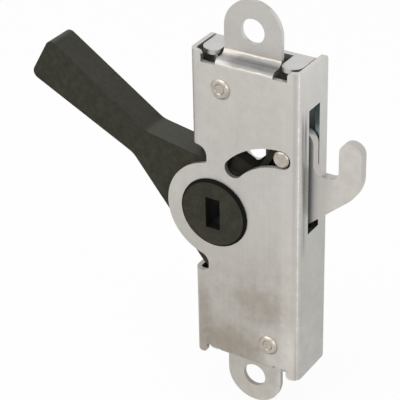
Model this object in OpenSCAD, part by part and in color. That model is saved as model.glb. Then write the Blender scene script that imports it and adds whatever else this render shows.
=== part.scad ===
// Sliding door lock: a folded sheet case with screw tabs, a moulded turn lever and a swinging hook bolt.
// Origin: midway between the two screw holes, on the back faces of the tabs.
// +X points to the hook's side, +Y into the door, +Z up.

/* [Case] */
// Width of the case, left wall to hook face
case_w = 30.6; // [28:0.1:36]
// Height of the case
case_h = 88; // [80:0.5:92]
// Depth of the front cover's side walls
case_d = 14; // [13.6:0.1:16]
// Thickness of the sheet metal
sheet_t = 1.2; // [1:0.05:1.4]
// Outer radius of the folds at the case's ends
bend_r = 1.6; // [1.5:0.1:2]
// Outer radius of the front cover's two side folds
wall_bend_r = 2.2; // [2:0.1:2.4]
// How much less deep the left wall is than the hook face
left_wall_short = 2.2; // [1.8:0.1:2.4]
// How far the back plate sits inside the side walls' rear edges
back_inset = 2; // [1.5:0.1:2.2]
// Radius of the side walls' upper rear corners
wall_corner_r = 1.6; // [0.5:0.1:2]
// Radius of the side walls' lower rear corners
wall_foot_r = 0.6; // [0.3:0.1:2]
// Gap between the back case and each side wall
case_gap = 0.4; // [0.3:0.05:0.5]

/* [Screw tabs] */
// Distance between the two screw holes
hole_pitch = 100; // [96:0.5:108]
// Diameter of the screw holes
hole_d = 6.5; // [5:0.1:7.5]
// Width of a tab, and of the strip that carries it
tab_w = 15.8; // [13:0.1:16.5]
// How far the tabs lie behind the front face
tab_setback = 4.5; // [4:0.1:5.5]
// Height of the case's corners above the strip's shelf
shelf_drop = 1.2; // [1:0.1:1.6]
// Width of the notch on each side of a strip
notch_w = 4; // [3:0.1:4.5]
// Depth of the notches, from the end of the case
notch_depth = 2.7; // [2.4:0.1:3]
// Radius of the front plate's corners beside the notches
notch_corner_r = 1.1; // [0.6:0.1:1.2]

/* [Back case end flanges] */
// How far the end flanges lie below the ends of the case
flange_drop = 0.2; // [0.1:0.05:0.6]
// Clearance on each side of a strip in its cut-out
cutout_side = 0.6; // [0.4:0.1:1]
// Distance from the front face to the back edge of a cut-out
cutout_depth = 9.3; // [8.5:0.1:10]
// How far the flanges' prongs stop short of the front plate
prong_back = 1; // [0.4:0.1:1.5]
// Radius of the prongs' corners beside a strip
prong_r = 1.8; // [1:0.1:2]
// Radius of the prongs' corners beside a side wall
prong_out_r = 2.8; // [2:0.1:3]

/* [Hub] */
// Distance from the hook face to the hub's axis
backset = 24.1; // [23:0.1:25]
// Radius of the hub's front journal
hub_r = 9.42; // [9:0.02:9.6]
// Radius of the hub's rear journal
core_r = 6; // [5.8:0.05:6.2]
// Radial clearance of both journals in the plates
journal_gap = 0.08; // [0.04:0.01:0.1]
// How far the hub stands out of the front face
hub_proud = 0.9; // [0.6:0.1:1.5]
// Chamfer round the hub's front edge
hub_chamfer = 0.45; // [0.2:0.05:0.6]
// How far the rear journal stands out of the back plate
core_proud = 0.6; // [0.4:0.1:1.2]
// Width of the slot for the key cylinder's tailpiece
key_slot_w = 4.2; // [4.1:0.1:4.6]
// Height of the slot for the key cylinder's tailpiece
key_slot_h = 8.8; // [7:0.1:9.2]

/* [Lever opening] */
// Radius of the front plate's lobe round the hub
lobe_r = 13.75; // [12.5:0.05:14]
// How far the opening reaches into the front plate, and back into the left wall
opening_in = 4.5; // [4:0.1:5]
// Height of the opening's top above the hub
opening_top = 18.4; // [17.5:0.1:19]
// Depth of the opening's lower end below the hub
opening_low = 18.4; // [17:0.1:19]
// Radius of the opening's upper corner
opening_r = 2.8; // [1.5:0.1:3]
// Radius of the opening's lower corner
opening_foot_r = 1.6; // [1:0.1:2.2]
// Radius of the hollow between the lobe's top and the opening's side
lobe_top_fillet_r = 1; // [0.5:0.1:1.5]
// Radius of the hollow between the lobe's foot and the opening's side
lobe_foot_fillet_r = 2.8; // [1:0.1:3]
// Half height of the lever's window in the left wall
window_half = 15; // [14.9:0.1:15.5]

/* [Lever] */
// Angle of the handle above the level, hook thrown
handle_angle = 30; // [26:0.5:32]
// Distance from the hub's axis to the handle's end
handle_len = 61; // [50:0.1:75]
// Half width of the handle at its end
handle_end_half = 6.55; // [5.5:0.05:8]
// Half width of the handle at the waist
waist_half = 4.25; // [3.5:0.05:5]
// Distance from the hub's axis to the waist
waist_at = 26.5; // [25:0.1:30]
// Radius of the hollow at the waist
waist_r = 6; // [3:0.5:10]
// Radius of the handle's end corners
handle_corner_r = 2; // [1:0.1:3]
// Angle of the flared root's upper side
flare_angle = 20; // [18:0.5:22]
// Angle of the flared root's lower side
flare_low_angle = 21.6; // [18:0.1:23]
// Thickness of the handle
handle_t = 8.4; // [7.5:0.1:8.6]
// Radius of the lever's disc inside the case
disc_r = 17.5; // [16.8:0.1:17.8]
// Thickness of the lever's disc and arm
disc_t = 4.3; // [3.5:0.1:4.4]
// Clearance between the lever and the front plate
lever_gap = 0.3; // [0.2:0.05:0.35]
// Radius inside which the handle's root is only as thick as the disc
root_r = 12.5; // [12.2:0.1:12.8]
// Angle that the lever swings down through, from hook thrown to hook drawn in
lever_swing_angle = 30; // [28:0.5:31]
// Half width of the forked arm that drives the guide pin
arm_half = 4.1; // [3.9:0.1:4.3]
// How far the arm's front face lies behind the disc's
arm_back = 0.8; // [0.7:0.1:1.2]
// How far the arm's prongs reach past the guide pin's centre
prong_over = 0.9; // [0.6:0.1:2.5]
// Angle of the arm's shoulder on the disc
shoulder_angle = 28; // [24:1:29]
// Distance to the left of the hub's axis at which the handle's full thickness starts
root_x = 2.4; // [2:0.1:3]

/* [Hook bolt] */
// Distance from the hook face to the hook's pivot
pivot_backset = 4.9; // [4.7:0.1:5.2]
// Height of the hook's pivot above the hub
pivot_z = 2.2; // [1.8:0.1:2.6]
// Thickness of the hook plate
hook_t = 2.5; // [2:0.1:2.7]
// Distance from the front face to the hook plate
hook_depth = 7.2; // [7:0.1:7.4]
// Radius of the hook's eye round its pivot
eye_r = 4.3; // [4:0.05:4.4]
// Slope of the hook's lower edge
hook_slope_angle = 40.6; // [38:0.1:41]
// Distance from the pivot to the hook's outer edge
hook_reach = 17.9; // [16:0.1:18]
// Outer radius of the hook's bend
hook_bend_r = 10; // [6:0.5:11]
// Half width of the hook's tip
tip_r = 3.05; // [2.5:0.05:3.2]
// Height of the tip's round centre above the pivot
tip_z = 19.85; // [18:0.05:20.2]
// Height of the throat's floor above the pivot
throat_z = 11.9; // [11.5:0.1:13]
// Radius of the throat's corners
throat_r = 2.5; // [1.5:0.1:3.2]
// Height of the limb's top above the pivot
limb_top = 23.6; // [23:0.1:24.6]
// How far the limb reaches to the left of the pivot
limb_left = 8.4; // [7:0.1:8.4]
// Height of the limb's left shoulder above the pivot
limb_shoulder = 9.5; // [9:0.1:11]
// Radius of the limb's upper corner at the face
limb_corner_r = 4; // [2:0.1:4.4]
// Radius of the limb's upper inner corner
limb_inner_r = 6; // [5:0.1:7]

/* [Guide pin and slots] */
// Distance from the hook's pivot to the guide pin
pin_at = 18; // [17.6:0.1:18.2]
// Angle that the hook swings through
hook_swing_angle = 47; // [45:0.5:47]
// Angle that the guide pin stops short of the slots' ends
pin_stop_angle = 0.8; // [0.4:0.1:1.4]
// Radius of the guide pin
pin_r = 2.2; // [2:0.05:2.3]
// Chamfer at the guide pin's ends
pin_chamfer = 0.35; // [0.2:0.05:0.5]
// Clearance of the guide pin in the arc slots
slot_gap = 0.3; // [0.15:0.05:0.35]
// Clearance of the guide pin in the arm's slot
arm_gap = 0.3; // [0.25:0.05:0.4]
// Distance from the front face to the hook slot in the side wall
face_slot_y = 4.75; // [4.5:0.05:5]
// Width of the hook slot in the side wall
face_slot_w = 5.35; // [5.2:0.05:5.5]
// Depth of the hook slot's lower end below the hub
face_slot_low = 1.7; // [1.5:0.1:2.5]
// Height of the hook slot's upper end above the hub
face_slot_top = 32.7; // [31:0.1:34]

/* [Rivets] */
// Distance of each rivet post from the nearer side of the case
post_from_side = 8.7; // [8.6:0.1:9.6]
// Distance of each rivet post from the nearer end of the case
post_from_end = 8.8; // [8.2:0.1:9.4]
// Radius of the posts between the plates
post_r = 3.5; // [3:0.1:3.6]
// Radius of the posts' ends in the plates
tenon_r = 2; // [1.5:0.1:2.2]
// Radius of the spun rivet heads
rivet_r = 2.6; // [2.4:0.1:3]
// Height of the spun rivet heads
rivet_h = 0.45; // [0.4:0.05:0.6]
// Slope of a spun head's rim, across its radius
rivet_rim = 0.4; // [0.2:0.05:0.5]
// Radius of the dish in a spun head
dish_r = 1.2; // [0.8:0.1:1.4]
// Depth of the dish in a spun head
dish_depth = 0.25; // [0.1:0.05:0.3]
// Radius of the hook's pivot stud
stud_r = 2.5; // [2.2:0.1:2.6]
// Radial clearance of the hook on its stud
stud_gap = 0.06; // [0.03:0.01:0.1]
// Radius of the stud's head and of the washer
stud_head_r = 3.4; // [3:0.1:3.4]
// Thickness of the stud's head
stud_head_t = 0.9; // [0.6:0.1:0.9]
// End play of the hook between the stud's head and the washer
hook_play = 0.15; // [0.1:0.05:0.2]

/* [Detent spring] */
// Thickness of the spring strip
spring_t = 0.5; // [0.4:0.05:0.6]
// Width of the spring strip
spring_w = 3; // [2:0.1:3.4]
// Clearance of the spring on its post and at the hook face
spring_gap = 0.15; // [0.1:0.05:0.3]
// Radius of the spring's nose
nose_r = 0.9; // [0.7:0.05:1.1]
// Clearance between the nose and the lever's rim
nose_gap = 0.3; // [0.2:0.05:0.4]
// Direction of the nose below the level, seen from the hub
nose_angle = 62; // [58:1:64]
// Depth of the two detents in the lever's rim
detent_depth = 0.5; // [0.3:0.05:0.6]

/* [Hidden] */
$fn = 96;

// Overshoot of cutting shapes
over = 1;
// How far a hollow runs into the edges it joins
lap = 0.02;
// Levels along Y
y_front = -tab_setback - sheet_t;
y_plate = y_front + sheet_t;
y_rear = y_front + case_d;
y_back = y_rear - back_inset;
y_back_in = y_back - sheet_t;
y_lever = y_plate + lever_gap;
y_disc = y_lever + disc_t;
y_hook = y_front + hook_depth;
y_washer = y_hook + hook_t + hook_play / 2;
// Case
half_w = case_w / 2;
half_h = case_h / 2;
left_wall_d = case_d - left_wall_short;
shelf_z = half_h - shelf_drop;
back_half_w = half_w - sheet_t - case_gap;
back_half_h = half_h - flange_drop;
y_prong = y_plate + prong_back;
post_x = half_w - post_from_side;
post_z = half_h - post_from_end;
// Hub, pivot and guide pin
hub_x = half_w - backset;
pivot_x = half_w - pivot_backset;
pivot_from_hub = pivot_x - hub_x;
// The guide pin's path across the lever: its start, middle and end, and the arc through them
path_start = pin_on_lever(0);
path_mid = pin_on_lever(0.5) - path_start;
path_end = pin_on_lever(1) - path_start;
path_turn = 2 * (path_mid[0] * path_end[1] - path_mid[1] * path_end[0]);
path_arm = [path_end[1] * (path_mid * path_mid) - path_mid[1] * (path_end * path_end),
            path_mid[0] * (path_end * path_end) - path_end[0] * (path_mid * path_mid)] / path_turn;
path_c = path_start + path_arm;
path_r = norm(path_arm);
path_out = angle_of(-path_arm);
path_in = angle_of(path_end - path_arm);
arm_angle = angle_of(path_start);
arm_slot_r = pin_r + arm_gap;
fork_angle = arm_slot_r / path_r * 180 / PI;
prong_angle = prong_over / path_r * 180 / PI;
// How far the arm's band is carried on into the hub
arm_root_angle = 4 * fork_angle;
// Where the flared root's lower and upper sides meet the disc, along +X from the hub
flare_low = flare_end(flare_low_angle);
flare_up = [flare_end(flare_angle)[0], -flare_end(flare_angle)[1]];
handle_taper = atan2(handle_end_half - waist_half, handle_len - waist_at);
handle_axis = 180 - handle_angle;
// Detent spring
loop_in_r = post_r + spring_gap;
loop_mid_r = loop_in_r + spring_t / 2;
y_spring = y_lever + (disc_t - spring_w) / 2;
nose_at = disc_r + nose_gap + nose_r;
nose_pos = [hub_x + nose_at * cos(nose_angle), -nose_at * sin(nose_angle)];
brace_pos = [half_w - sheet_t - spring_gap - spring_t / 2, -post_z + post_r + loop_mid_r * 2];

function angle_of(p) = atan2(p[1], p[0]);

// Where the guide pin lies on the lever, seen from the hub, after a share s of the swing
function pin_on_lever(s) = let (
    a = pin_stop_angle + s * hook_swing_angle,
    x = pivot_from_hub - pin_at * sin(a),
    z = pivot_z + pin_at * cos(a),
    t = s * lever_swing_angle
  ) [x * cos(t) + z * sin(t), z * cos(t) - x * sin(t)];

// Where a side of the flared root meets the disc, for the angle of that side
function flare_end(angle) = let (
    off = (waist_half + waist_at * tan(angle)) * cos(angle),
    run = sqrt(disc_r * disc_r - off * off)
  ) [off * sin(angle) - run * cos(angle), off * cos(angle) + run * sin(angle)];

// Lays a drawing of X and Z out as a plate from level y
module plate(y, t) {
  translate([0, y + t, 0]) rotate([90, 0, 0]) linear_extrude(t) children();
}

// Lays a drawing of Y and Z out across the width w
module across(w) {
  translate([-w / 2, 0, 0]) rotate([90, 0, 90]) linear_extrude(w) children();
}

// What a square corner loses when it is rounded to radius r
module corner_cut(r) {
  difference() {
    translate([-over, -over]) square(r + over);
    translate([r, r]) circle(r);
  }
}

// A quarter of a ring between two radii, in the first quadrant
module quarter_ring(r_out, r_in) {
  intersection() {
    difference() {
      circle(r_out);
      circle(r_in);
    }
    square(r_out);
  }
}

// A straight strip of width w between two points, with round ends
module strip(p, q, w) {
  d = q - p;
  translate(p) rotate(atan2(d[1], d[0])) translate([0, -w / 2]) square([norm(d), w]);
  for (c = [p, q]) translate(c) circle(w / 2);
}

// Section of a channel folded to outer radius r: its web lies along X, its walls run along Y
module channel(w, d, r) {
  difference() {
    translate([-w / 2, 0]) square([w, d]);
    difference() {
      translate([-w / 2 + sheet_t, sheet_t]) square([w - 2 * sheet_t, d]);
      for (m = [0, 1]) mirror([m, 0]) translate([sheet_t - w / 2, sheet_t]) corner_cut(r - sheet_t);
    }
    for (m = [0, 1]) mirror([m, 0]) translate([-w / 2, 0]) corner_cut(r);
  }
}

// Part of a ring of middle radius r and half width w, between two angles
module arc_band(r, w, from, to) {
  reach = 2 * (r + w);
  middle = (from + to) / 2;
  intersection() {
    difference() {
      circle(r + w);
      circle(r - w);
    }
    polygon([[0, 0], reach * [cos(from), sin(from)],
             reach * [cos(middle), sin(middle)], reach * [cos(to), sin(to)]]);
  }
}

// The half round that ends an arc band
module band_end(r, w, angle) {
  rotate(angle) translate([r, 0]) intersection() {
    circle(w);
    translate([-w - over, 0]) square(2 * (w + over));
  }
}

// The guide pin's arc-shaped slot about the hook's pivot
module arc_slot() {
  w = pin_r + slot_gap;
  to = 90 + hook_swing_angle + 2 * pin_stop_angle;
  translate([pivot_x, pivot_z]) {
    arc_band(pin_at, w, 90, to);
    band_end(pin_at, w, to);
    mirror([1, 0]) band_end(pin_at, w, 90);
  }
}

// The cut-back at the lever's opening, from the case's left front corner
module opening() {
  difference() {
    translate([-over, -opening_low]) square([opening_in + over, opening_low + opening_top]);
    translate([opening_in, opening_top]) rotate(180) corner_cut(opening_r);
    translate([opening_in, -opening_low]) mirror([1, 0]) corner_cut(opening_foot_r);
  }
}

// Hollow of radius r between the lobe's top and the opening's side, drawn from the hub
module lobe_fillet(r) {
  side_x = opening_in - half_w - hub_x;
  x = side_x - r + lap;
  centre = [x, sqrt(pow(lobe_r + r - lap, 2) - x * x)];
  difference() {
    polygon([centre, [side_x + over, centre[1]], centre / 2]);
    translate(centre) circle(r);
  }
}

// Section of the strip that steps back from the front plate to a tab
module joggle() {
  y_tab = y_front + tab_setback;
  z_tab = shelf_z + bend_r;
  translate([y_front, shelf_z - bend_r - over]) square([sheet_t, over]);
  translate([y_front + bend_r, shelf_z - bend_r]) mirror([1, 0]) quarter_ring(bend_r, bend_r - sheet_t);
  translate([y_front + bend_r, shelf_z - sheet_t]) square([y_tab - y_front - 2 * bend_r, sheet_t]);
  translate([y_tab - bend_r, z_tab]) mirror([0, 1]) quarter_ring(bend_r + sheet_t, bend_r);
  translate([y_tab, z_tab]) square([sheet_t, hole_pitch / 2 - z_tab]);
}

module end_strip() {
  across(tab_w) joggle();
  plate(-sheet_t, sheet_t) translate([0, hole_pitch / 2]) circle(tab_w / 2);
}

module at_posts() {
  translate([-post_x, post_z]) children();
  translate([post_x, -post_z]) children();
}

// What the front plate's upper end loses on both sides of the strip
module end_notches() {
  notch_x = tab_w / 2 + notch_w;
  translate([-notch_x, half_h - notch_depth]) square([2 * notch_x, notch_depth + over]);
  for (m = [0, 1]) mirror([m, 0]) translate([-notch_x, half_h]) rotate(180) corner_cut(notch_corner_r);
}

// What a side wall's rear edge at level y loses at its two corners
module wall_corners(y) {
  translate([y, half_h]) rotate(180) corner_cut(wall_corner_r);
  translate([y, -half_h]) rotate(90) corner_cut(wall_foot_r);
}

module front_cover() {
  color("silver") difference() {
    union() {
      difference() {
        translate([0, y_front, -half_h]) linear_extrude(case_h) difference() {
          channel(case_w, case_d, wall_bend_r);
          translate([-half_w - over, left_wall_d]) square([sheet_t + 2 * over, left_wall_short + over]);
        }
        plate(y_front - over, wall_bend_r + over) translate([-half_w, 0]) opening();
        translate([wall_bend_r - half_w, 0, 0]) mirror([1, 0, 0]) rotate([90, 0, 90])
          linear_extrude(wall_bend_r + over) translate([y_front, 0]) {
            opening();
            translate([0, -opening_low]) square([case_d + over, opening_low + window_half]);
          }
        for (s = [0, 1]) mirror([0, 0, s]) plate(y_front - over, sheet_t + 2 * over) end_notches();
        translate([half_w / 2, 0, 0]) across(half_w + over) wall_corners(y_rear);
        translate([-half_w / 2, 0, 0]) across(half_w + over) wall_corners(y_front + left_wall_d);
      }
      plate(y_front, sheet_t) translate([hub_x, 0]) {
        circle(lobe_r);
        lobe_fillet(lobe_top_fillet_r);
        mirror([0, 1]) lobe_fillet(lobe_foot_fillet_r);
      }
      for (s = [0, 1]) mirror([0, 0, s]) end_strip();
    }
    plate(y_front - over, sheet_t + 2 * over) {
      translate([hub_x, 0]) circle(hub_r + journal_gap);
      arc_slot();
      at_posts() circle(tenon_r);
    }
    for (s = [-1, 1]) translate([0, 0, s * hole_pitch / 2])
      plate(-sheet_t - over, sheet_t + 2 * over) circle(hole_d / 2);
    translate([half_w - sheet_t - over, y_front + face_slot_y, -face_slot_low])
      cube([sheet_t + 2 * over, face_slot_w, face_slot_low + face_slot_top]);
  }
}

module back_case() {
  flange_d = y_back - y_prong;
  cutout_half = tab_w / 2 + cutout_side;
  color("gainsboro") difference() {
    across(2 * back_half_w) translate([y_back, 0]) rotate(90) channel(2 * back_half_h, flange_d, bend_r);
    for (s = [-1, 1]) translate([0, 0, s * back_half_h])
      linear_extrude(2 * (sheet_t + over), center = true) {
        translate([-cutout_half, y_prong - over])
          square([2 * cutout_half, y_front + cutout_depth - y_prong + over]);
        for (m = [0, 1]) mirror([m, 0]) {
          translate([cutout_half, y_prong]) corner_cut(prong_r);
          translate([back_half_w, y_prong]) mirror([1, 0]) corner_cut(prong_out_r);
        }
      }
    plate(y_back_in - over, sheet_t + 2 * over) {
      translate([hub_x, 0]) circle(core_r + journal_gap);
      translate([pivot_x, pivot_z]) circle(tenon_r);
      arc_slot();
      at_posts() circle(tenon_r);
    }
  }
}

// Outline of the handle and its flared root, along +X from the hub
module handle_outline() {
  corner_t = handle_len - handle_corner_r;
  corner_s = waist_half + (corner_t - waist_at) * tan(handle_taper) - handle_corner_r / cos(handle_taper);
  side = [corner_t - handle_corner_r * sin(handle_taper), corner_s + handle_corner_r * cos(handle_taper)];
  polygon([flare_low, [waist_at, waist_half], side, [handle_len, corner_s], [handle_len, -corner_s],
           [side[0], -side[1]], [waist_at, -waist_half], flare_up]);
  for (s = [-1, 1]) translate([corner_t, s * corner_s]) circle(handle_corner_r);
  waist_hollow(flare_low_angle);
  mirror([0, 1]) waist_hollow(flare_angle);
}

// Fills the sharp corner at the waist up to a round hollow, for the angle of the root's side
module waist_hollow(angle) {
  half_turn = (angle + handle_taper) / 2;
  run = waist_r * tan(half_turn);
  to_root = [waist_at - run * cos(angle), waist_half + run * sin(angle)];
  to_end = [waist_at + run * cos(handle_taper), waist_half + run * sin(handle_taper)];
  tilt = (angle - handle_taper) / 2;
  reach = waist_r / cos(half_turn);
  difference() {
    polygon([[waist_at, 0], to_end, to_root]);
    translate([waist_at + reach * sin(tilt), waist_half + reach * cos(tilt)]) circle(waist_r);
  }
}

// Outline of the disc inside the case, beyond the ends of the flared root's sides
module disc_outline() {
  reach = 2 * disc_r;
  intersection() {
    circle(disc_r);
    polygon([flare_low, flare_up, [-reach, -reach], [-reach, reach]]);
  }
}

// Outline of the forked arm that reaches from the hub to the guide pin, with its shoulder on the disc
module arm_outline() {
  reach = 2 * disc_r;
  intersection() {
    circle(disc_r);
    rotate(arm_angle) polygon([[0, 0], [reach, 0], reach * [cos(shoulder_angle), sin(shoulder_angle)]]);
  }
  intersection() {
    translate(path_c) arc_band(path_r, arm_half, path_in - arm_root_angle, path_out + prong_angle);
    square([backset - sheet_t - lever_gap, case_h]);
  }
}

module lever() {
  stem_l = y_back + core_proud - y_front;
  color("#3d3d35") translate([hub_x, 0, 0]) difference() {
    union() {
      plate(y_lever, disc_t) rotate(handle_axis) {
        handle_outline();
        disc_outline();
      }
      plate(y_lever + arm_back, disc_t - arm_back) arm_outline();
      plate(y_lever, handle_t) difference() {
        rotate(handle_axis) handle_outline();
        circle(root_r);
        translate([-root_x, -disc_r - over]) square([2 * disc_r, 2 * (disc_r + over)]);
      }
      translate([0, y_front, 0]) rotate([-90, 0, 0]) {
        translate([0, 0, -hub_proud]) cylinder(h = hub_chamfer, r1 = hub_r - hub_chamfer, r2 = hub_r);
        translate([0, 0, hub_chamfer - hub_proud])
          cylinder(h = y_disc - y_front + hub_proud - hub_chamfer, r = hub_r);
        cylinder(h = stem_l, r = core_r);
      }
    }
    plate(y_front - hub_proud - over, stem_l + hub_proud + 2 * over)
      translate([-key_slot_w / 2, -key_slot_h / 2]) square([key_slot_w, key_slot_h]);
    plate(y_lever - over, disc_t + 2 * over) {
      translate(path_c) arc_band(path_r, arm_slot_r, path_in - fork_angle, path_out + 2 * fork_angle);
      for (a = [0, lever_swing_angle]) rotate(-nose_angle - a)
        translate([disc_r + nose_r - detent_depth, 0]) circle(nose_r);
    }
  }
}

// Outline of the hook plate, about its pivot
module hook_outline() {
  bend_half = (90 - hook_slope_angle) / 2;
  run = hook_bend_r * tan(bend_half);
  slope_dir = [cos(hook_slope_angle), sin(hook_slope_angle)];
  eye_low = [eye_r * sin(hook_slope_angle), -eye_r * cos(hook_slope_angle)];
  knee = eye_low + slope_dir * (hook_reach - eye_low[0]) / slope_dir[0];
  tip_in = hook_reach - 2 * tip_r;
  throat_l = pivot_backset;
  circle(eye_r);
  polygon([eye_low, knee - slope_dir * run, knee + [0, run], [hook_reach, tip_z], [tip_in, tip_z],
           [tip_in, throat_z], [throat_l, throat_z], [throat_l, limb_top - limb_corner_r],
           [throat_l - limb_corner_r, limb_top], [limb_inner_r - limb_left, limb_top],
           [-limb_left, limb_top - limb_inner_r], [-limb_left, limb_shoulder], [-eye_r, 0]]);
  translate([throat_l, throat_z]) corner_cut(throat_r);
  translate([tip_in, throat_z]) mirror([1, 0]) corner_cut(throat_r);
  intersection() {
    polygon([knee - slope_dir * run, knee, knee + [0, run]]);
    translate([hook_reach - hook_bend_r, knee[1] + run]) circle(hook_bend_r);
  }
  translate([hook_reach - tip_r, tip_z]) circle(tip_r);
  translate([throat_l - limb_corner_r, limb_top - limb_corner_r]) circle(limb_corner_r);
  translate([limb_inner_r - limb_left, limb_top - limb_inner_r]) circle(limb_inner_r);
}

module hook_bolt() {
  color("lightgray") plate(y_hook, hook_t) translate([pivot_x, pivot_z]) difference() {
    hook_outline();
    circle(stud_r + stud_gap);
    rotate(pin_stop_angle) translate([0, pin_at]) circle(pin_r);
  }
}

module guide_pin() {
  pin_l = y_back - y_front;
  color("tan") translate([pivot_x, y_front, pivot_z]) rotate([0, -pin_stop_angle, 0])
    translate([0, 0, pin_at]) rotate([-90, 0, 0]) {
      cylinder(h = pin_chamfer, r1 = pin_r - pin_chamfer, r2 = pin_r);
      translate([0, 0, pin_chamfer]) cylinder(h = pin_l - 2 * pin_chamfer, r = pin_r);
      translate([0, 0, pin_l - pin_chamfer]) cylinder(h = pin_chamfer, r1 = pin_r, r2 = pin_r - pin_chamfer);
    }
}

// A spun rivet head that stands up from the XY plane, dished in the middle
module spun_head() {
  difference() {
    cylinder(h = rivet_h, r1 = rivet_r, r2 = rivet_r - rivet_rim);
    translate([0, 0, rivet_h - dish_depth])
      cylinder(h = 2 * dish_depth, r1 = dish_r, r2 = dish_r + 2 * dish_depth);
  }
}

module back_head() {
  translate([0, y_back, 0]) rotate([-90, 0, 0]) spun_head();
}

module hook_pivot_stud() {
  y_head = y_hook - hook_play / 2 - stud_head_t;
  color("tan") translate([pivot_x, 0, pivot_z]) {
    plate(y_head, stud_head_t) circle(stud_head_r);
    plate(y_head + stud_head_t, y_back_in - y_head - stud_head_t) circle(stud_r);
    plate(y_back_in, sheet_t) circle(tenon_r);
    back_head();
  }
}

module hook_washer() {
  color("darkgray") plate(y_washer, y_back_in - y_washer) translate([pivot_x, pivot_z]) difference() {
    circle(stud_head_r);
    circle(stud_r);
  }
}

// A shouldered post between the plates, riveted over at both ends
module rivet_post() {
  plate(y_plate, y_back_in - y_plate) circle(post_r);
  plate(y_front, y_back - y_front) circle(tenon_r);
  back_head();
  translate([0, y_front, 0]) rotate([90, 0, 0]) spun_head();
}

module upper_rivet_post() {
  color("tan") translate([-post_x, 0, post_z]) rivet_post();
}

module lower_rivet_post() {
  color("tan") translate([post_x, 0, -post_z]) rivet_post();
}

module detent_spring() {
  color("dimgray") plate(y_spring, spring_w) {
    translate([post_x, -post_z]) intersection() {
      difference() {
        circle(loop_in_r + spring_t);
        circle(loop_in_r);
      }
      translate([-post_r - over, -post_r - over]) square([2 * (post_r + over), post_r + over]);
    }
    strip([post_x + loop_mid_r, -post_z], brace_pos, spring_t);
    strip([post_x - loop_mid_r, -post_z], nose_pos - [0, nose_r - spring_t / 2], spring_t);
    translate(nose_pos) circle(nose_r);
  }
}

front_cover();
back_case();
lever();
hook_bolt();
guide_pin();
hook_pivot_stud();
hook_washer();
upper_rivet_post();
lower_rivet_post();
detent_spring();
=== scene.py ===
"""Sliding door lock: satin steel case, moulded lever and hook bolt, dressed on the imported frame."""
from math import cos, radians, sin

import bpy
from mathutils import Matrix, Vector


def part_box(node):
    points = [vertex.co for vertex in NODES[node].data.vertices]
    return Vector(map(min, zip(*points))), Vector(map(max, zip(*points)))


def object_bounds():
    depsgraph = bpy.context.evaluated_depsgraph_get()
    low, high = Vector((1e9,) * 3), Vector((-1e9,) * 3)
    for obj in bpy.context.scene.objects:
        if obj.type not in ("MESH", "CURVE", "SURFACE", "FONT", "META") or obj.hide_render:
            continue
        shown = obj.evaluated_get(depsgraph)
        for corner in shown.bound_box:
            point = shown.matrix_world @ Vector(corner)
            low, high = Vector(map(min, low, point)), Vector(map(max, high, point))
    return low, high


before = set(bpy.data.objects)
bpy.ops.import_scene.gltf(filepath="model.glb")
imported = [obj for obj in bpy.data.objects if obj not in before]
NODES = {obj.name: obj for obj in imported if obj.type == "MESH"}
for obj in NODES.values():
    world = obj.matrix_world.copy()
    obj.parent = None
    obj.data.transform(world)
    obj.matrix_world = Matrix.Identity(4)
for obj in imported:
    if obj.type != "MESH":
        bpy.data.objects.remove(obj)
CAD_BOX = [list(corner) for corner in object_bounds()]
SCENE = bpy.context.scene
SCENE.view_settings.view_transform = "Standard"

# Measures that the finishes go by, in metres of the lock's own frame: X to the hook, Y into the door, Z up.
# A pair is a range, or where something begins and where it is complete.
HUB_X = -0.0088  # the lever's axis
HUB_EDGE_INNER = (0.0087, 0.00895)  # the hub's dark edge, from that axis
HUB_EDGE_OUTER = (0.0098, 0.0096)
HUB_OUT_OF_PLATE_Y = (-0.0045, -0.005)
KEY_SLOT_X = (HUB_X - 0.00215, HUB_X + 0.00215)
KEY_SLOT_Z = (-0.00445, 0.00445)
KEY_SLOT_MOUTH_Y = (-0.0065, -0.0062)
KEY_SLOT_DEPTH_Y = (-0.005, -0.001)
LEVER_INSIDE_X = (-0.0112, -0.0106)  # what of the lever is in the case
LEVER_INSIDE_Y = (-0.0047, -0.0043)
FOOT_Z = (0.005, -0.032)  # the cover's more handled lower part
PALE_CORNER_X = (0.0015, 0.0085)
PALE_CORNER_Z = (-0.024, -0.036)
FOLD_X = (0.0126, 0.013)  # the right wall's fold
FOLD_HIGHLIGHT_Z = (-0.044, 0.015)
FOLD_SHADE_Z = (-0.03, 0.012)
BESIDE_FOLD_X = (0.0088, 0.0118)  # the plate next to it
BESIDE_FOLD_Z = (-0.044, -0.026)
STRIP_X = (-0.0078, 0.0078)  # the strip that steps back to the upper tab
STEP_Z = (0.042, 0.0462)
STEP_LEFT_X = (-0.0025, -0.007)
LOW_TAB_Z = (-0.046, -0.0465)
ARC_SLOT_X = (-0.008, 0.013)
ARC_SLOT_RIGHT_X = (0.002, 0.009)
ARC_SLOT_Z = (-0.002, 0.024)
PLATE_EDGE_Y = (-0.0056, -0.0046)  # cut edges through the front plate
WALL_STREAKS_Y = (-0.0040, -0.0022)  # between the fold and the hook's slot
WALL_STREAKS_Z = (-0.002, 0.027)
HOOK_SLOT_REAR_Y = (0.001, 0.002)
HOOK_SLOT_SHADE_Z = (0.004, 0.016)
HOOK_SLOT_FLOOR_X = (0.0136, 0.014)
HOOK_SLOT_FLOOR_Z = (-0.0022, -0.0012)
BACK_PLATE_Y = (0.003, 0.004)  # the back plate, seen from within
BACK_GLOOM_Z = (0.031, 0.0255)
HOOK_SLIDES_X = (0.0205, 0.0165)  # the hook plate next to the wall
HOOK_STREAK_X = (0.0158, 0.0141)
HOOK_FOOT_Z = (0.010, 0.022)
RIVET_GROOVE = (0.00125, 0.0014)  # from a rivet's axis
RIVET_HALO = (0.0029, 0.0026)
RIVET_HALO_SHIFT = (0.0002, -0.0001)  # in X and Z
MM = 1000.0  # millimetres in a metre


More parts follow.
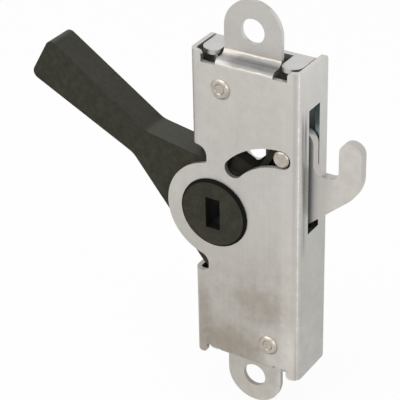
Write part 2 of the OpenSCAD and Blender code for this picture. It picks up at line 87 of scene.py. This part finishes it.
class Wire:
    """A socket's value in a finish. Arithmetic on it adds Math nodes."""

    def __init__(self, finish, socket):
        self.finish = finish
        self.socket = socket

    def math(self, operation, first, second):
        return self.finish.add("ShaderNodeMath", {"operation": operation}, {0: first, 1: second})

    def __add__(self, other):
        return self.math("ADD", self, other)

    def __sub__(self, other):
        return self.math("SUBTRACT", self, other)

    def __rsub__(self, other):
        return self.math("SUBTRACT", other, self)

    def __mul__(self, other):
        return self.math("MULTIPLY", self, other)

    def __truediv__(self, other):
        return self.math("DIVIDE", self, other)

    def __pow__(self, other):
        return self.math("POWER", self, other)

    __radd__ = __add__
    __rmul__ = __mul__


class Finish:
    """A node tree and the one way that any node is added to it."""

    def __init__(self, tree):
        self.tree = tree

    def add(self, kind, settings=None, sockets=None, out=0):
        node = self.tree.nodes.new(kind)
        for name, value in (settings or {}).items():
            if name == "stops":
                ramp = node.color_ramp.elements
                while len(ramp) < len(value):
                    ramp.new(1)
                for stop, (place, colour) in zip(ramp, value):
                    stop.position = place
                    stop.color = colour
            else:
                setattr(node, name, value)
        for key, value in (sockets or {}).items():
            self.set(node.inputs[key], value)
        return Wire(self, node.outputs[out])

    def set(self, socket, value):
        if isinstance(value, Wire):
            self.tree.links.new(value.socket, socket)
        else:
            socket.default_value = value

    def place(self):
        """Where a point is on the piece, in metres of the lock's own frame."""
        return self.add("ShaderNodeTexCoord", out=3)

    def facing(self):
        """Which way a point faces in the lock's own frame: its share along X, Y and Z, each from -1 to 1."""
        return self.add("ShaderNodeTexCoord", out=1)

    def axes(self, vector):
        split = self.add("ShaderNodeSeparateXYZ", sockets={0: vector}).socket.node
        return [Wire(self, output) for output in split.outputs]

    def reach(self, across, up):
        """How far a point is from an axis along Y, by its distances across and up."""
        return (across ** 2 + up ** 2) ** 0.5

    def stretch(self, vector, scale):
        return self.add("ShaderNodeVectorMath", {"operation": "MULTIPLY"}, {0: vector, 1: scale})

    def noise(self, vector, scale, detail=2.0, roughness=0.5):
        sockets = {"Vector": vector, "Scale": scale, "Detail": detail, "Roughness": roughness}
        return self.add("ShaderNodeTexNoise", sockets=sockets)

    def ramp(self, value, low, high, from_value=0.0, to_value=1.0):
        """A value's range between low and high, spread smoothly over two other values."""
        return self.add("ShaderNodeMapRange", {"interpolation_type": "SMOOTHSTEP"}, {
            "Value": value, "From Min": low, "From Max": high, "To Min": from_value, "To Max": to_value})

    def band(self, value, low, high, soft):
        """One inside a value's range between low and high, falling off to nothing over soft on both sides."""
        return self.ramp(value, low - soft, low) * (1.0 - self.ramp(value, high, high + soft))

    def by_height(self, z, colours):
        """A colour for each height in millimetres, blended between them."""
        low, high = colours[0][0], colours[-1][0]
        stops = [((height - low) / (high - low), srgb(*colour)) for height, colour in colours]
        return self.add("ShaderNodeValToRGB", {"stops": stops}, {0: (z * MM - low) / (high - low)})

    def shaded(self, colour, scale):
        return self.add("ShaderNodeVectorMath", {"operation": "SCALE"}, {0: colour, "Scale": scale})

    def mix(self, share, first, second):
        return self.add("ShaderNodeMix", {"data_type": "RGBA"}, {0: share, 6: first, 7: second}, out=2)

    def bump(self, height, strength, distance):
        sockets = {"Height": height, "Strength": strength, "Distance": distance}
        return self.add("ShaderNodeBump", sockets=sockets)


def srgb(red, green, blue):
    """A colour from its 0 to 255 screen values."""
    steps = [value / 255 for value in (red, green, blue)]
    return [v / 12.92 if v <= 0.04045 else ((v + 0.055) / 1.055) ** 2.4 for v in steps] + [1.0]


def darker(colour, share):
    return [value * share for value in colour[:3]] + [1.0]


def middle(node):
    low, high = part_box(node)
    return [(a + b) / 2 for a, b in zip(low, high)]


# The sheets' colours at their heights in millimetres. They hold painted shade: darker towards the foot, and on
# the cover's right wall a tone of its own.
COVER_FACE = [(-58, (190, 186, 178)), (-45, (187, 182, 174)), (-44, (168, 161, 151)), (-38, (172, 165, 156)),
              (-30, (180, 175, 168)), (-18, (185, 180, 173)), (-6, (192, 188, 182)), (10, (196, 192, 187)),
              (44, (199, 196, 190)), (46, (193, 190, 185)), (58, (193, 190, 185))]
COVER_FLANK = [(-44, (180, 179, 174)), (0, (183, 182, 177)), (20, (196, 195, 191)), (44, (207, 206, 202))]
BACK_FACE = [(-44, (176, 172, 165)), (0, (186, 183, 177)), (44, (190, 188, 183))]
# The step's colours from upright, over its bend, to its ledge: a warm painted highlight on the bend, then painted
# reflection, dark and cool, on the ledge. The ledge's paler left end is painted reflection too.
STEP_BEND_SHADING = [(0.0, srgb(188, 185, 180)), (0.1, srgb(174, 167, 156)), (0.2, srgb(210, 202, 187)),
             (0.38, srgb(214, 207, 194)), (0.48, srgb(146, 143, 139)), (0.7, srgb(130, 129, 129)),
             (1.0, srgb(138, 139, 141))]
STEP_LEFT = srgb(202, 196, 191)
# Painted highlight along the right wall's fold: a bright beaded line and a glow beside it.
FOLD_HIGHLIGHT_LINE, FOLD_GLOW = srgb(240, 237, 234), srgb(204, 200, 195)
# Painted light on the back case's upward faces, and painted shade on its plate seen from within.
FLANGE_TOP_LIGHT = srgb(198, 197, 196)
GLOOM_HIGH, GLOOM_LOW = srgb(124, 134, 132), srgb(76, 83, 83)
# Painted shade and reflection: dark streaks on the right wall, and in the hook's slot a rear that is dark low and
# teal high, and a dark floor.
WALL_STREAK = srgb(114, 119, 118)
SLOT_REAR_HIGH, SLOT_REAR_LOW, SLOT_FLOOR = srgb(146, 168, 174), srgb(52, 58, 58), srgb(58, 62, 60)
# The darker colour round the lower tab's cut edges is painted shade.
ARC_SLOT_CUT, LOW_TAB_EDGE_SHADE = srgb(196, 194, 190), srgb(122, 117, 108)
PALE_CORNER_COLOUR, HANDLED = srgb(197, 193, 187), srgb(158, 149, 136)
# Patches of handling: x, z and their reaches, in millimetres, and strength.
HANDLED_PATCHES = ((4.0, -24.0, 9.5, 6.0, 0.5), (-6.0, -38.0, 10.5, 5.5, 0.7), (-12.5, -30.0, 2.5, 9.0, 0.5))
# The cover's dark ring round each rivet, set off to its lower right, is a painted shadow.
RIVET_SHADOW, GROOVE_DARK = srgb(120, 110, 97), srgb(122, 112, 98)
MOULDING_DARK, MOULDING_LIGHT = srgb(33, 32, 23), srgb(62, 60, 49)
# The lever's paler edge colours are a painted highlight along its rounded edges.
MOULDING_EDGE_DARK, MOULDING_EDGE_LIGHT = srgb(66, 63, 54), srgb(86, 83, 73)
# Painted light on upward faces, then a paler colour, part wear and part painted light, then painted shade.
MOULDING_TOP_LIGHT, MOULDING_WORN_AND_LIT, MOULDING_SHADE = srgb(58, 58, 55), srgb(70, 70, 63), srgb(16, 16, 14)
# The key slot's walls: painted shade at its mouth, and painted light deeper in.
SLEEVE_MOUTH, SLEEVE_DEPTH = srgb(19, 19, 19), srgb(70, 70, 69)
# The hook's paler colour near the cover's wall is painted light, and its dark teal streak beside the wall is a
# painted shadow and reflection.
HOOK_STEEL, HOOK_WALL_LIGHT, HOOK_STREAK = srgb(214, 209, 203), srgb(224, 219, 214), srgb(84, 99, 102)
# The hook's darker rim is painted shade on its rounded edges.
HOOK_SHEARED, HOOK_RIM_SHADE = srgb(178, 173, 168), srgb(166, 165, 163)
SPRING_STEEL = srgb(120, 122, 126)
# The spun parts' slightly paler rim is a painted highlight.
TAN_STEEL, TAN_RIM_HIGHLIGHT = srgb(198, 189, 177), srgb(202, 194, 182)
# Cut sheet edges: painted light where they face up, painted shade where they face down.
EDGE_LIT_ABOVE, EDGE_SHADED_BELOW = srgb(206, 203, 197), srgb(158, 154, 147)


def new_finish(name, metallic, **constants):
    material = bpy.data.materials.new(name)
    material.use_nodes = True
    finish = Finish(material.node_tree)
    shader = material.node_tree.nodes["Principled BSDF"]
    shader.inputs["Metallic"].default_value = metallic
    for key, value in constants.items():
        shader.inputs[key.replace("_", " ")].default_value = value
    return material, finish, shader.inputs


def satin_sheet(name, face, flank, cover):
    """Satin stainless sheet: brushed upright, clouded and lightly scratched, and more uneven towards the foot.
    Its colour holds painted shade: darker towards the foot, and a tone of its own on the right wall. The cover is
    also handled, and has painted highlights and shade along its folds and its step. The sheet behind it is
    duller on its inner side, with painted shade there and painted light on its flanges' tops."""
    material, finish, shader = new_finish(name, 1.0)
    place = finish.place()
    x, y, z = finish.axes(place)
    aside, ahead, upward = finish.axes(finish.facing())
    front = finish.ramp(ahead, -0.75, -0.95)
    foot = finish.ramp(z, *FOOT_Z)
    hairs = finish.noise(finish.stretch(place, (2400.0, 2400.0, 60.0)), 1.0, 3.0, 0.6) - 0.5
    drawn = finish.noise(finish.stretch(place, (900.0, 900.0, 16.0)), 1.0, 3.0, 0.65) - 0.5
    mottle = finish.noise(place, 330.0, 4.0, 0.65) - 0.5
    clouds = finish.noise(finish.stretch(place, (1.0, 1.0, 0.6)), 95.0, 3.0, 0.55) - 0.5
    beads = finish.noise(place, 1500.0, 2.0, 0.6) - 0.5
    scratch = finish.noise(finish.stretch(place, (130.0, 130.0, 1700.0)), 1.0, 2.0, 0.5)
    scratch = finish.band(scratch, 0.495, 0.505, soft=0.008) * finish.ramp(clouds, 0.02, 0.2) * front
    uneven = hairs * 0.09 + drawn * 0.1 + mottle * 0.28 + clouds * 0.22 + beads * 0.12
    shade = 1.0 + uneven * (0.8 + foot * 0.5) - scratch * 0.07
    rough = 0.41 + hairs * 0.12 + mottle * 0.1
    # Colour by height and facing: painted shade, darker towards the foot, and the right wall in a painted tone of
    # its own.
    plain = finish.mix(finish.band(aside, 0.85, 2.0, soft=0.3),
                       finish.by_height(z, face), finish.by_height(z, flank))
    if cover:
        plain = painted_step_light(finish, plain, (x, z), upward, mottle)
        plain = handled(finish, plain, (x, z), front, mottle)
        plain = wall_and_slot_shade(finish, plain, (x, y, z), (aside, front, upward))
        plain, cut = cut_edges(finish, plain, (x, y, z), ahead)
        plain = painted_fold_highlight(finish, plain, (x, z), aside, 0.75 + mottle * 1.5 + beads * 1.6)
        shade = shade + fold_shade(finish, (x, z), aside, foot, mottle)
        finish.set(shader["Metallic"], 1.0 - cut * 0.75)
    else:
        # Painted shade on the back plate seen from within, and painted light on the flanges' upward faces.
        inner = front * finish.ramp(y, *BACK_PLATE_Y)
        gloom = finish.mix(finish.ramp(z, *BACK_GLOOM_Z), GLOOM_HIGH, GLOOM_LOW)
        plain = finish.mix(inner * 0.85, plain, gloom)
        plain = finish.mix(finish.ramp(upward, 0.6, 0.9) * 0.8, plain, FLANGE_TOP_LIGHT)
        rough = rough + inner * 0.35
        finish.set(shader["Metallic"], 1.0 - inner * 0.6)
    finish.set(shader["Base Color"], finish.shaded(plain, shade))
    finish.set(shader["Roughness"], rough)
    finish.set(shader["Normal"], finish.bump(hairs * 0.5 + drawn * 0.6 + mottle * 0.5, 0.16, 0.00006))
    return material


def painted_step_light(finish, plain, place, upward, mottle):
    """The upper strip's step back: a ledge in painted reflection, cool, dark, streaked and paler at its left end,
    and a warm painted highlight along both of its bends.
    """
    x, z = place
    bent = finish.add("ShaderNodeValToRGB", {"stops": STEP_BEND_SHADING}, {0: upward + mottle * 0.35})
    streaks = finish.noise(finish.stretch(finish.place(), (50.0, 1400.0, 1400.0)), 1.0, 3.0, 0.6)
    bent = finish.mix(finish.ramp(x + mottle * 0.004, *STEP_LEFT_X) * 0.6, bent, STEP_LEFT)
    bent = finish.shaded(bent, 0.7 + streaks * 0.6)
    strip = finish.band(x, *STRIP_X, soft=0.0002) * finish.band(z, *STEP_Z, soft=0.0005)
    return finish.mix(strip * finish.ramp(upward, 0.02, 0.12), plain, bent)


def handled(finish, plain, place, front, mottle):
    """Soft brownish patches of handling on the front plate, a paler lower corner, and a painted shadow round each
    rivet, set off to its lower right.
    """
    x, z = place
    pale_corner = finish.ramp(x + mottle * 0.006, *PALE_CORNER_X) * finish.ramp(z, *PALE_CORNER_Z) * front
    plain = finish.mix(pale_corner * 0.9, plain, PALE_CORNER_COLOUR)
    for centre_x, centre_z, reach_x, reach_z, strength in HANDLED_PATCHES:
        off = finish.reach((x * MM - centre_x) / reach_x, (z * MM - centre_z) / reach_z)
        patch = finish.ramp(off + mottle * 0.8, 1.15, 0.3) * front * strength
        plain = finish.mix(patch, plain, HANDLED)
    for post in ("upper_rivet_post", "lower_rivet_post"):
        centre = middle(post)
        off = finish.reach(x - (centre[0] + RIVET_HALO_SHIFT[0]), z - (centre[2] + RIVET_HALO_SHIFT[1]))
        plain = finish.mix(finish.ramp(off, *RIVET_HALO) * front * 0.6, plain, RIVET_SHADOW)
    return plain


def wall_and_slot_shade(finish, plain, place, facing):
    """Painted shade and reflection: cool, dark streaks down the right wall, between its fold and the hook's slot,
    and the slot's dark ends.
    """
    x, y, z = place
    aside, front, upward = facing
    streaks = finish.noise(finish.stretch(finish.place(), (300.0, 1700.0, 22.0)), 1.0, 3.0, 0.6)
    strip = (finish.ramp(aside, 0.88, 0.97) * finish.band(y, *WALL_STREAKS_Y, soft=0.0005)
             * finish.band(z, *WALL_STREAKS_Z, soft=0.008))
    plain = finish.mix(strip * finish.ramp(streaks, 0.35, 0.6, 0.15, 0.85), plain, WALL_STREAK)
    rear = finish.mix(finish.ramp(z, *HOOK_SLOT_SHADE_Z), SLOT_REAR_LOW, SLOT_REAR_HIGH)
    plain = finish.mix(finish.ramp(y, *HOOK_SLOT_REAR_Y) * front * 0.9, plain, rear)
    floor = (finish.ramp(upward, 0.6, 0.9) * finish.band(z, *HOOK_SLOT_FLOOR_Z, soft=0.0003)
             * finish.ramp(x, *HOOK_SLOT_FLOOR_X))
    return finish.mix(floor * 0.9, plain, SLOT_FLOOR)


def cut_edges(finish, plain, place, ahead):
    """The cut edges of the sheet: pale in the arc slot, most at its right end, and darker round the lower tab,
    which is painted shade.
    Gives the arc slot's share as well."""
    x, y, z = place
    edge = finish.band(ahead, -0.5, 0.5, soft=0.3)
    slot = (edge * finish.band(x, *ARC_SLOT_X, soft=0.0001) * finish.band(y, *PLATE_EDGE_Y, soft=0.0002)
            * finish.band(z, *ARC_SLOT_Z, soft=0.002) * finish.ramp(x, *ARC_SLOT_RIGHT_X, 0.2, 1.0))
    plain = finish.mix(slot, plain, ARC_SLOT_CUT)
    return finish.mix(edge * finish.ramp(z, *LOW_TAB_Z) * 0.55, plain, LOW_TAB_EDGE_SHADE), slot


def painted_fold_highlight(finish, plain, place, aside, beaded):
    """The right wall's fold: a beaded painted highlight along it, and a painted glow next to that on the wall.
    Round the fold, aside goes from 0 on the plate to 1 on the wall."""
    x, z = place
    pale_share = finish.ramp(z, *FOLD_HIGHLIGHT_Z, 0.4, 1.0) * finish.ramp(x, *FOLD_X) * 0.8
    plain = finish.mix(finish.band(aside, 0.72, 0.76, soft=0.045) * beaded * pale_share, plain, FOLD_HIGHLIGHT_LINE)
    return finish.mix(finish.band(aside, 0.82, 0.93, soft=0.05) * 0.45 * pale_share, plain, FOLD_GLOW)


def fold_shade(finish, place, aside, foot, mottle):
    """Painted light and shade: how much lighter the cover is beside its right fold, and how much darker where its
    folds begin.
    """
    x, z = place
    beside = finish.ramp(x, *BESIDE_FOLD_X) * (1.0 - finish.ramp(aside, 0.78, 0.95))
    lighter = beside * (0.06 + foot * finish.ramp(z, *BESIDE_FOLD_Z, 0.06, 0.18))
    right_fold_shade = finish.band(aside, 0.25, 0.5, soft=0.12) * (0.145 + mottle * 0.15) * finish.ramp(z, *FOLD_SHADE_Z)
    left_fold_shade = finish.band(aside, -0.3, -0.16, soft=0.07) * (0.06 + mottle * 0.25)
    return (lighter - right_fold_shade - left_fold_shade) * 0.8


def moulded_black(name, dark, light):
    """Olive-black moulded plastic with a fine matt grain. Its upper sides are paler, part by wear and part by
    painted light. The hub's edge and what turns inside the case are darker with painted shade, and the key slot
    has painted shade at its mouth and painted light deeper in."""
    material, finish, shader = new_finish(name, 0.0, Specular_IOR_Level=0.14)
    place = finish.place()
    x, y, z = finish.axes(place)
    upward = finish.axes(finish.facing())[2]
    grain = finish.noise(place, 1500.0, 3.0, 0.7)
    clouds = finish.noise(place, 80.0, 3.0)
    speckle = finish.noise(place, 520.0, 4.0, 0.75)
    pale_share = finish.ramp(upward, 0.88, 0.96)
    radius = finish.reach(x - HUB_X, z)
    hub_edge = (finish.ramp(radius, *HUB_EDGE_INNER) * finish.ramp(radius, *HUB_EDGE_OUTER)
                * finish.ramp(y, *HUB_OUT_OF_PLATE_Y))
    inside = finish.ramp(x, *LEVER_INSIDE_X) * finish.ramp(y, *LEVER_INSIDE_Y)
    in_shade = finish.add("ShaderNodeMath", {"operation": "MAXIMUM"}, {0: hub_edge * 1.5, 1: inside * 0.6})
    key_slot = (finish.band(x, *KEY_SLOT_X, soft=0.0001) * finish.band(z, *KEY_SLOT_Z, soft=0.0001)
                * finish.ramp(y, *KEY_SLOT_MOUTH_Y))
    sleeve = finish.mix(finish.ramp(y, *KEY_SLOT_DEPTH_Y), SLEEVE_MOUTH, SLEEVE_DEPTH)
    colour = finish.mix(clouds * 0.3 + grain * 0.2 + finish.ramp(speckle, 0.3, 0.7) * 0.5, dark, light)
    colour = finish.mix(finish.ramp(upward, 0.4, 0.7) * 0.4, colour, MOULDING_TOP_LIGHT)
    colour = finish.mix(pale_share * (0.35 + speckle * 0.7), colour, MOULDING_WORN_AND_LIT)
    colour = finish.mix(in_shade * 0.65, colour, MOULDING_SHADE)
    finish.set(shader["Base Color"], finish.mix(key_slot * 0.95, colour, sleeve))
    finish.set(shader["Roughness"], 0.46 + grain * 0.16 - pale_share * 0.06 + in_shade * 0.35)
    finish.set(shader["Normal"], finish.bump(grain, 0.35, 0.00008))
    return material


def turned_steel(name, colour, centre, rough, dished):
    """A spun or turned steel end: rings about its axis, which runs along Y through centre, and a darker ring in
    its groove if it is dished."""
    material, finish, shader = new_finish(name, 1.0)
    place = finish.place()
    x, _, z = finish.axes(place)
    radius = finish.reach(x - centre[0], z - centre[2])
    rings = finish.add("ShaderNodeMath", {"operation": "SINE"}, {0: radius * 16000.0}) * 0.5 + 0.5
    specks = finish.noise(place, 900.0, 3.0, 0.6)
    spun = finish.mix(rings * 0.3 + finish.ramp(specks, 0.3, 0.65) * 0.7, darker(colour, 0.68), colour)
    if dished:
        groove = finish.band(radius, *RIVET_GROOVE, soft=0.0002) * finish.ramp(specks, 0.4, 0.6) * 0.8
        spun = finish.mix(groove, spun, GROOVE_DARK)
    finish.set(shader["Base Color"], spun)
    finish.set(shader["Roughness"], rough + specks * 0.12)
    finish.set(shader["Normal"], finish.bump(rings + specks, 0.2, 0.00004))
    return material


def stamped_steel(name, colour, rough, wall_light=0.0):
    """Thick stamped plate: tumbled, faintly mottled, with no direction in its grain. Given a share of painted
    light, it is paler by that much where it slides through the cover's wall, with a painted shadow of the wall
    next to it; then it is also darker towards its foot, and its sheared edges are duller."""
    material, finish, shader = new_finish(name, 1.0)
    place = finish.place()
    mottle = finish.noise(place, 420.0, 4.0, 0.6)
    clouds = finish.noise(place, 90.0, 2.0)
    plain = finish.mix(finish.ramp(mottle, 0.3, 0.65) * 0.5 + clouds * 0.6, darker(colour, 0.8), colour)
    rough = rough + mottle * 0.1
    if wall_light:
        x, _, z = finish.axes(place)
        ahead = finish.axes(finish.facing())[1]
        front = finish.ramp(ahead, -0.8, -0.95)
        slides = finish.ramp(x, *HOOK_SLIDES_X) * front
        plain = finish.shaded(plain, finish.ramp(z, *HOOK_FOOT_Z, 0.94, 1.0))
        plain = finish.mix(slides * wall_light, plain, HOOK_WALL_LIGHT)
        plain = finish.mix(finish.ramp(x, *HOOK_STREAK_X) * front * 0.85, plain, HOOK_STREAK)
        plain = finish.mix(finish.ramp(ahead, -0.7, -0.3) * 0.75, plain, HOOK_SHEARED)
        rough = rough + slides * 0.35
        finish.set(shader["Metallic"], 1.0 - slides * 0.7)
    finish.set(shader["Base Color"], plain)
    finish.set(shader["Roughness"], rough)
    finish.set(shader["Normal"], finish.bump(mottle, 0.1, 0.00004))
    return material


def sheared_edge(name, above, below):
    """The edge of cut sheet: painted light where it faces up, painted shade where it faces down."""
    material, finish, shader = new_finish(name, 1.0)
    mottle = finish.noise(finish.place(), 700.0, 3.0, 0.6)
    upward = finish.axes(finish.facing())[2]
    finish.set(shader["Base Color"], finish.mix(finish.ramp(upward + mottle * 0.6, 0.0, 0.7), below, above))
    finish.set(shader["Roughness"], 0.3 + mottle * 0.12)
    return material


def soften(node, width, segments, angle, rim):
    """Rounds a piece's sharp edges a little, as a tumbled or moulded edge is, and gives them the finish rim."""
    piece = NODES[node]
    piece.data.materials.append(rim)
    flats = piece.modifiers.new("flats", "DECIMATE")
    flats.decimate_type = "DISSOLVE"
    flats.angle_limit = radians(1.0)
    edges = piece.modifiers.new("edges", "BEVEL")
    edges.width = width
    edges.segments = segments
    edges.limit_method = "ANGLE"
    edges.angle_limit = radians(angle)
    edges.use_clamp_overlap = True
    edges.harden_normals = True
    edges.material = 1


def coat(node, material):
    mesh = NODES[node].data
    mesh.materials.clear()
    mesh.materials.append(material)


def dress():
    """Every piece gets its finish, and all but the spring get softened edges."""
    cut_edge = sheared_edge("sheared_sheet_edge", EDGE_LIT_ABOVE, EDGE_SHADED_BELOW)
    spun_rim = stamped_steel("spun_rim_highlight", TAN_RIM_HIGHLIGHT, rough=0.3)
    hook_rim = stamped_steel("shaded_hook_rim", HOOK_RIM_SHADE, rough=0.28)
    lever_edge = moulded_black("lever_edge_highlight", MOULDING_EDGE_DARK, MOULDING_EDGE_LIGHT)

    coat("front_cover", satin_sheet("satin_cover_sheet", COVER_FACE, COVER_FLANK, cover=True))
    coat("back_case", satin_sheet("satin_back_sheet", BACK_FACE, BACK_FACE, cover=False))
    for sheet in ("front_cover", "back_case"):
        soften(sheet, width=0.00016, segments=2, angle=35.0, rim=cut_edge)
    coat("lever", moulded_black("olive_black_moulding", MOULDING_DARK, MOULDING_LIGHT))
    soften("lever", width=0.0004, segments=3, angle=35.0, rim=lever_edge)
    coat("hook_bolt", stamped_steel("tumbled_hook_plate", HOOK_STEEL, rough=0.26, wall_light=0.85))
    soften("hook_bolt", width=0.00045, segments=3, angle=35.0, rim=hook_rim)
    coat("detent_spring", stamped_steel("blue_grey_spring_strip", SPRING_STEEL, rough=0.3))
    for name in ("upper_rivet_post", "lower_rivet_post", "hook_pivot_stud", "guide_pin", "hook_washer"):
        spun = turned_steel("spun_" + name, TAN_STEEL, middle(name), rough=0.28, dished="rivet" in name)
        coat(name, spun)
        soften(name, width=0.00012, segments=2, angle=30.0, rim=spun_rim)


FLOOR_SIZE = 6.0
FLOOR_DROP = 0.0006  # below the lower tab
TENT_STRENGTH = 0.55
LAMPS = (("window_left", (-0.35, -0.55, 0.5), 0.7, 2.2),  # name, place, size and power
         ("window_top", (0.1, -0.1, 0.8), 0.7, 2.2),
         ("strip_right", (0.6, -0.35, 0.25), 0.4, 0.8))


def white_to_view(finish, lit, strength):
    """Mixes a lit shader with plain white where a camera, glossy or see-through ray meets it."""
    seen = finish.add("ShaderNodeLightPath").socket.node.outputs
    rays = Wire(finish, seen["Is Camera Ray"]) + Wire(finish, seen["Is Glossy Ray"])
    rays = finish.add("ShaderNodeMath", {"operation": "MINIMUM"},
                      {0: rays + Wire(finish, seen["Is Transmission Ray"]), 1: 1.0})
    kind = "ShaderNodeBackground" if isinstance(finish.tree.id_data, bpy.types.World) else "ShaderNodeEmission"
    white = finish.add(kind, sockets={"Color": (1.0, 1.0, 1.0, 1.0), "Strength": 1.0})
    return finish.add("ShaderNodeMixShader", sockets={0: rays * strength, 1: lit, 2: white})


def whiten(owner, kind, constants, strength):
    """Sets the constants on the one shader of a new material or world, and shows it white to the view."""
    owner.use_nodes = True
    finish = Finish(owner.node_tree)
    ends = {node.bl_idname: node for node in owner.node_tree.nodes}
    for key, value in constants.items():
        ends[kind].inputs[key].default_value = value
    output = ends.get("ShaderNodeOutputMaterial") or ends["ShaderNodeOutputWorld"]
    lit = Wire(finish, ends[kind].outputs[0])
    finish.set(output.inputs["Surface"], white_to_view(finish, lit, strength))


def studio():
    """A pale floor under the lower tab, a soft white tent all round, and three large lamps."""
    floor_z = CAD_BOX[0][2] - FLOOR_DROP
    bpy.ops.mesh.primitive_plane_add(size=FLOOR_SIZE, location=(0.0, 0.0, floor_z))
    floor = bpy.context.object
    floor.name = "pale_floor"
    pale = bpy.data.materials.new("pale_floor")
    whiten(pale, "ShaderNodeBsdfPrincipled", {"Base Color": (0.9, 0.9, 0.9, 1.0), "Roughness": 0.9}, 0.93)
    floor.data.materials.append(pale)

    SCENE.world = bpy.data.worlds.new("soft_tent")
    white = {"Color": (1.0, 1.0, 1.0, 1.0), "Strength": TENT_STRENGTH}
    whiten(SCENE.world, "ShaderNodeBackground", white, 1.0)

    for name, place, size, power in LAMPS:
        lamp = bpy.data.lights.new(name, "AREA")
        lamp.size = size
        lamp.energy = power
        light = bpy.data.objects.new(name, lamp)
        light.location = place
        light.rotation_euler = (-Vector(place)).to_track_quat("-Z", "Y").to_euler()
        SCENE.collection.objects.link(light)


def camera():
    """The photograph's view: a long lens from the front right and above, with a slight roll."""
    turn, rise, roll = radians(32.53), radians(30.54), radians(-1.40)
    stand = Vector((0.18579, -0.31736, 0.22049))
    right = Vector((cos(turn), sin(turn), 0.0))
    ahead = Vector((-sin(turn) * cos(rise), cos(turn) * cos(rise), -sin(rise)))
    up = right.cross(ahead)
    right, up = right * cos(roll) + up * sin(roll), up * cos(roll) - right * sin(roll)
    lens = bpy.data.cameras.new("product_view")
    lens.lens = 153.5
    lens.sensor_width = 36.0
    lens.clip_start = 0.01
    view = bpy.data.objects.new("product_view", lens)
    view.matrix_world = Matrix.Translation(stand) @ Matrix((right, up, -ahead)).transposed().to_4x4()
    SCENE.collection.objects.link(view)
    SCENE.camera = view


dress()
studio()
camera()
